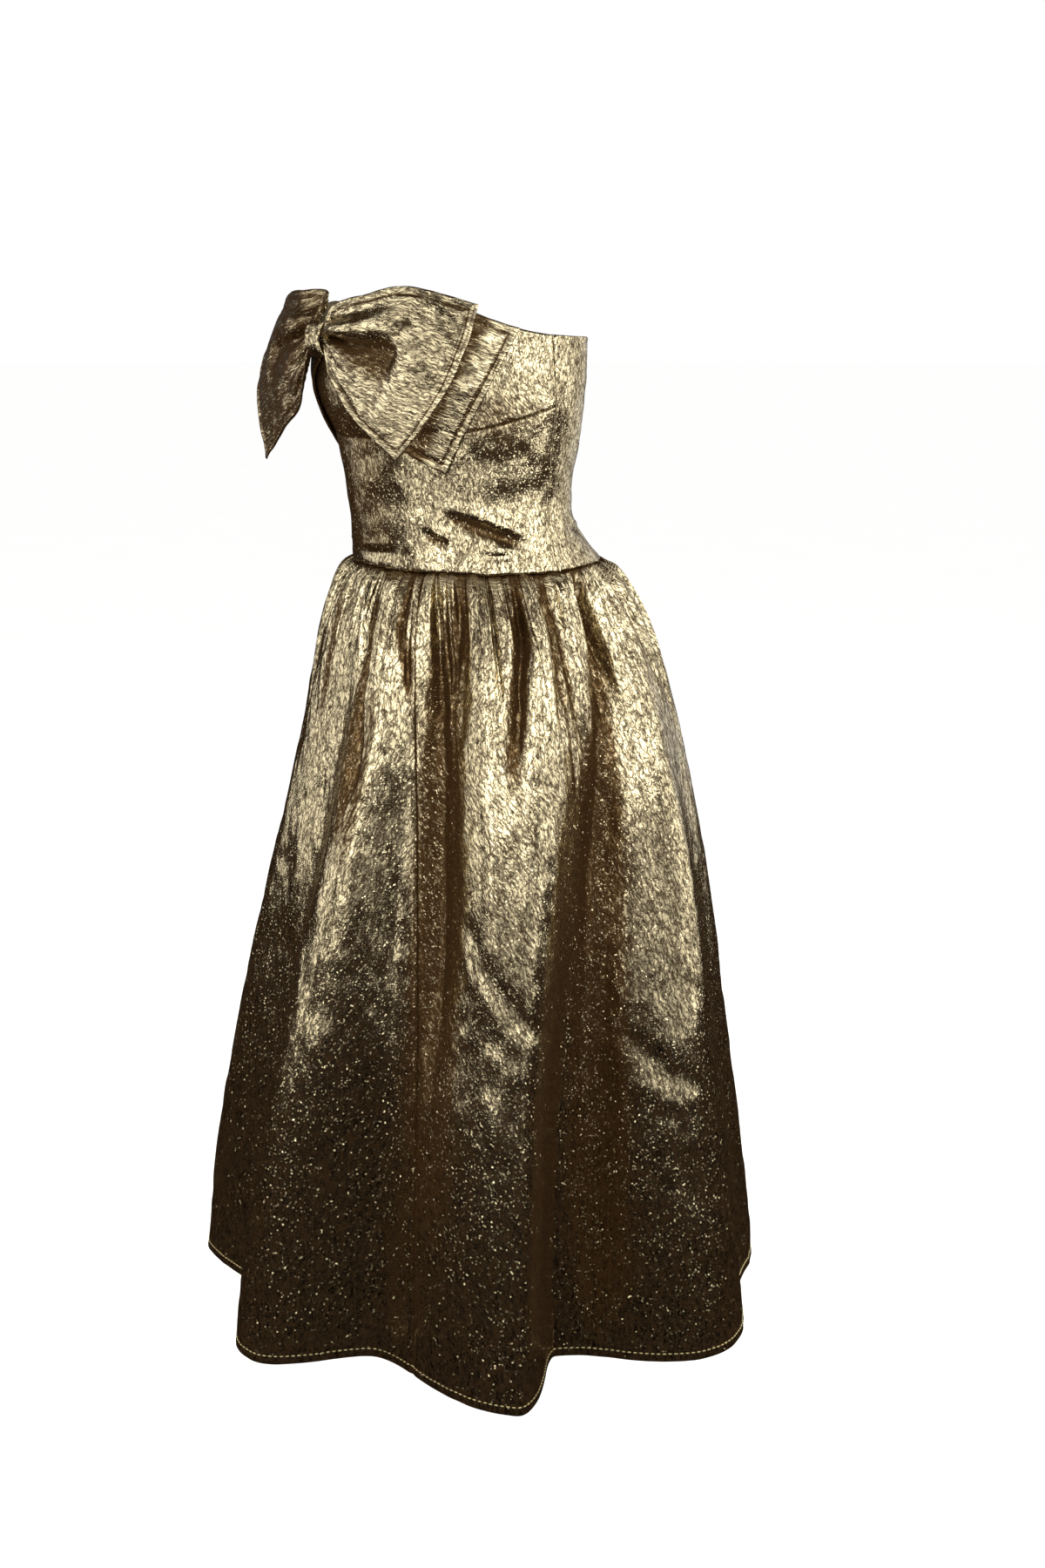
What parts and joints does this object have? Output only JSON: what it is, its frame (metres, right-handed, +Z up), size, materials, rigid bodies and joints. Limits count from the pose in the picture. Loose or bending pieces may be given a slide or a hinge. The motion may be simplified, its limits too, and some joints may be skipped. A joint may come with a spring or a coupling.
{
  "type": "midi dress",
  "caption": "Strapless midi dress, hollow as worn: fitted bodice with a wide flat bow on the bust, gathered full skirt, concealed back zip with a swinging pull tab.",
  "frame": {"origin": "middle of the waist seam, where the wearer's waist holds the dress", "axes": "+Z up the body, the front faces -Y, the wearer's left is +X"},
  "size_m": [0.7058, 0.6104, 1.0327],
  "materials": {
    "bodice_cloth": "crinkled metallic jacquard, gold over dark brown",
    "skirt_cloth": "crinkled metallic jacquard, gold over dark brown",
    "bow_cloth": "crinkled metallic jacquard, two plies",
    "zip_metal": "lacquered"
  },
  "bodies": {
    "dress": {"bust_front": "bodice_cloth", "midriff_front": "bodice_cloth", "back_left": "bodice_cloth", "back_right": "bodice_cloth", "skirt_front": "skirt_cloth", "skirt_left": "skirt_cloth", "skirt_right": "skirt_cloth", "bow_under_left": "bow_cloth", "bow_under_right": "bow_cloth", "bow_wing_left": "bow_cloth", "bow_wing_right": "bow_cloth", "bow_knot": "bow_cloth", "zip_slider": "zip_metal"},
    "pull": {"zip_pull": "zip_metal"}
  },
  "joints": [
    {"name": "pull_swing", "type": "hinge", "parent": "dress", "child": "pull", "pos_m": [0, 0.10518, 0.2035], "axis": [1, 0, 0], "range_deg": [0, 150]}
  ]
}
